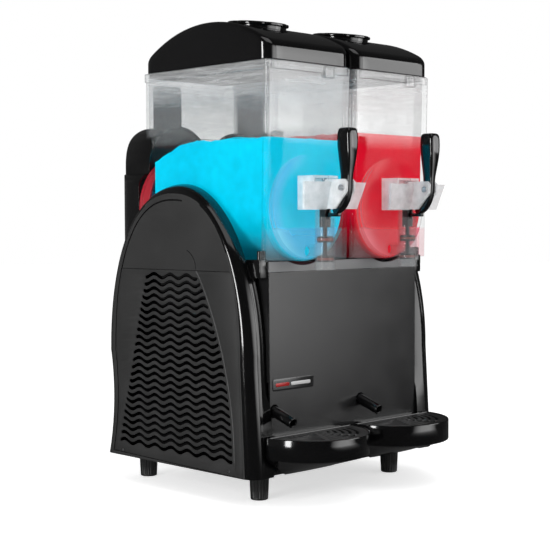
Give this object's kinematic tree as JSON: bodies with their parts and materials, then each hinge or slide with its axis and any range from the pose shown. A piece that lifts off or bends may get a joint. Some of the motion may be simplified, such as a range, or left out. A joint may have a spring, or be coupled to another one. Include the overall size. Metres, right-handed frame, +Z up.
{
  "type": "slush machine",
  "caption": "Countertop twin-bowl slush dispenser: clear bowls with black lids and lever taps on a louvred black cabinet with drip trays.",
  "frame": {"origin": "on the counter, under the middle of the overall box", "axes": "+X to the machine's right, -Y to its front (taps), +Z up"},
  "size_m": [0.47, 0.51, 0.81],
  "materials": {
    "black_gloss": "deep black moulded plastic, high gloss",
    "black_satin": "black moulded plastic, fine satin",
    "panel_grey": "dark grey gloss powder coat",
    "steel": "brushed stainless steel",
    "galvanised": "galvanised sheet",
    "foot_rubber": "ribbed black rubber",
    "compressor_black": "black enamel",
    "fins": "bare fins",
    "shroud_grey": "grey plastic",
    "fan_white": "pale plastic blade",
    "copper": "copper tube",
    "motor_grey": "grey cast housing",
    "gasket_red": "red silicone",
    "seal_black": "black nitrile",
    "seal_brown": "red-brown silicone",
    "auger_white": "white food-grade plastic",
    "switch_red": "red rocker",
    "switch_black": "black rocker",
    "bowl_clear": "clear polycarbonate",
    "tap_clear": "clear polycarbonate",
    "slush_blue": "frozen drink, blue",
    "slush_red": "frozen drink, red",
    "spring_steel": "spring wire"
  },
  "bodies": {
    "cabinet": {"base_pan": "galvanised", "feet": "foot_rubber", "front_panel": "panel_grey", "rear_panel": "panel_grey", "left_cheek": "black_gloss", "left_louvre_panel": "black_satin", "right_cheek": "black_gloss", "right_louvre_panel": "black_satin", "top_deck": "black_satin", "rear_bulkhead": "black_satin", "motor_cover": "black_gloss", "compressor": "compressor_black", "condenser": "fins", "fan_shroud": "shroud_grey", "fan_motor": "motor_grey", "refrigerant_lines": "copper", "control_box": "galvanised", "power_inlet": "switch_black", "gear_motor_left": "motor_grey", "gear_motor_right": "motor_grey", "evaporator_left": "steel", "evaporator_right": "steel", "shaft_seals": "seal_black", "barrel_gaskets": "gasket_red", "drain_tubes": "black_satin", "name_plate": "panel_grey", "panel_screws": "steel"},
    "drive_left": {"drive_shaft_left": "steel", "auger_left": "auger_white"},
    "bowl_left": {"bowl_left": "bowl_clear", "slush_left": "slush_blue", "tap_bracket_left": "tap_clear", "tap_pin_left": "steel", "tap_spring_left": "spring_steel"},
    "handle_left": {"tap_handle_left": "black_gloss"},
    "piston_left": {"tap_piston_left": "black_satin", "piston_seals_left": "seal_brown"},
    "lid_left": {"lid_left": "black_gloss"},
    "cap_left": {"filler_cap_left": "black_gloss"},
    "tray_left": {"drip_tray_left": "black_gloss"},
    "grille_left": {"drip_grille_left": "black_satin"},
    "mode_key_left": {"mode_switch_left": "switch_black"},
    "drive_right": {"drive_shaft_right": "steel", "auger_right": "auger_white"},
    "bowl_right": {"bowl_right": "bowl_clear", "slush_right": "slush_red", "tap_bracket_right": "tap_clear", "tap_pin_right": "steel", "tap_spring_right": "spring_steel"},
    "handle_right": {"tap_handle_right": "black_gloss"},
    "piston_right": {"tap_piston_right": "black_satin", "piston_seals_right": "seal_brown"},
    "lid_right": {"lid_right": "black_gloss"},
    "cap_right": {"filler_cap_right": "black_gloss"},
    "tray_right": {"drip_tray_right": "black_gloss"},
    "grille_right": {"drip_grille_right": "black_satin"},
    "mode_key_right": {"mode_switch_right": "switch_black"},
    "fan": {"fan_blade": "fan_white"},
    "main_key": {"main_switch": "switch_red"}
  },
  "joints": [
    {"name": "auger_left_spin", "type": "hinge", "parent": "cabinet", "child": "drive_left", "pos_m": [-0.106, 0, 0.489], "axis": [0, 1, 0], "continuous": true},
    {"name": "bowl_left_slide", "type": "slide", "parent": "cabinet", "child": "bowl_left", "axis": [0, -1, 0], "range_m": [0, 0.33]},
    {"name": "tap_left_lever", "type": "hinge", "parent": "bowl_left", "child": "handle_left", "pos_m": [-0.106, -0.238, 0.519], "axis": [1, 0, 0], "range_deg": [0, 30]},
    {"name": "tap_left_piston", "type": "slide", "parent": "bowl_left", "child": "piston_left", "axis": [0, 0, 1], "range_m": [0, 0.0215], "deforming": ["tap_spring_left"]},
    {"name": "lid_left_lift", "type": "slide", "parent": "bowl_left", "child": "lid_left", "axis": [0, 0, 1], "range_m": [0, 0.06]},
    {"name": "cap_left_lift", "type": "slide", "parent": "lid_left", "child": "cap_left", "axis": [0, -0.0912, 0.9958], "range_m": [0, 0.05]},
    {"name": "tray_left_slide", "type": "slide", "parent": "cabinet", "child": "tray_left", "axis": [0, -1, 0], "range_m": [0, 0.15]},
    {"name": "grille_left_lift", "type": "slide", "parent": "tray_left", "child": "grille_left", "axis": [0, 0, 1], "range_m": [0, 0.014]},
    {"name": "mode_left_rock", "type": "hinge", "parent": "cabinet", "child": "mode_key_left", "pos_m": [0.2305, 0.04, 0.43], "axis": [0, 1, 0], "range_deg": [-12, 12]},
    {"name": "auger_right_spin", "type": "hinge", "parent": "cabinet", "child": "drive_right", "pos_m": [0.106, 0, 0.489], "axis": [0, 1, 0], "continuous": true},
    {"name": "bowl_right_slide", "type": "slide", "parent": "cabinet", "child": "bowl_right", "axis": [0, -1, 0], "range_m": [0, 0.33]},
    {"name": "tap_right_lever", "type": "hinge", "parent": "bowl_right", "child": "handle_right", "pos_m": [0.106, -0.238, 0.519], "axis": [1, 0, 0], "range_deg": [0, 30]},
    {"name": "tap_right_piston", "type": "slide", "parent": "bowl_right", "child": "piston_right", "axis": [0, 0, 1], "range_m": [0, 0.0215], "deforming": ["tap_spring_right"]},
    {"name": "lid_right_lift", "type": "slide", "parent": "bowl_right", "child": "lid_right", "axis": [0, 0, 1], "range_m": [0, 0.06]},
    {"name": "cap_right_lift", "type": "slide", "parent": "lid_right", "child": "cap_right", "axis": [0, -0.0912, 0.9958], "range_m": [0, 0.05]},
    {"name": "tray_right_slide", "type": "slide", "parent": "cabinet", "child": "tray_right", "axis": [0, -1, 0], "range_m": [0, 0.15]},
    {"name": "grille_right_lift", "type": "slide", "parent": "tray_right", "child": "grille_right", "axis": [0, 0, 1], "range_m": [0, 0.014]},
    {"name": "mode_right_rock", "type": "hinge", "parent": "cabinet", "child": "mode_key_right", "pos_m": [0.2305, 0.09, 0.43], "axis": [0, 1, 0], "range_deg": [-12, 12]},
    {"name": "main_switch_rock", "type": "hinge", "parent": "cabinet", "child": "main_key", "pos_m": [0.2305, -0.01, 0.43], "axis": [0, 1, 0], "range_deg": [-12, 12]},
    {"name": "fan_spin", "type": "hinge", "parent": "cabinet", "child": "fan", "pos_m": [-0.128, 0.035, 0.17], "axis": [1, 0, 0], "continuous": true}
  ],
  "couplings": [
    {"joint": "tap_left_piston", "follows": "tap_left_lever", "m_per_rad": 0.040107},
    {"joint": "tap_right_piston", "follows": "tap_right_lever", "m_per_rad": 0.040107}
  ]
}
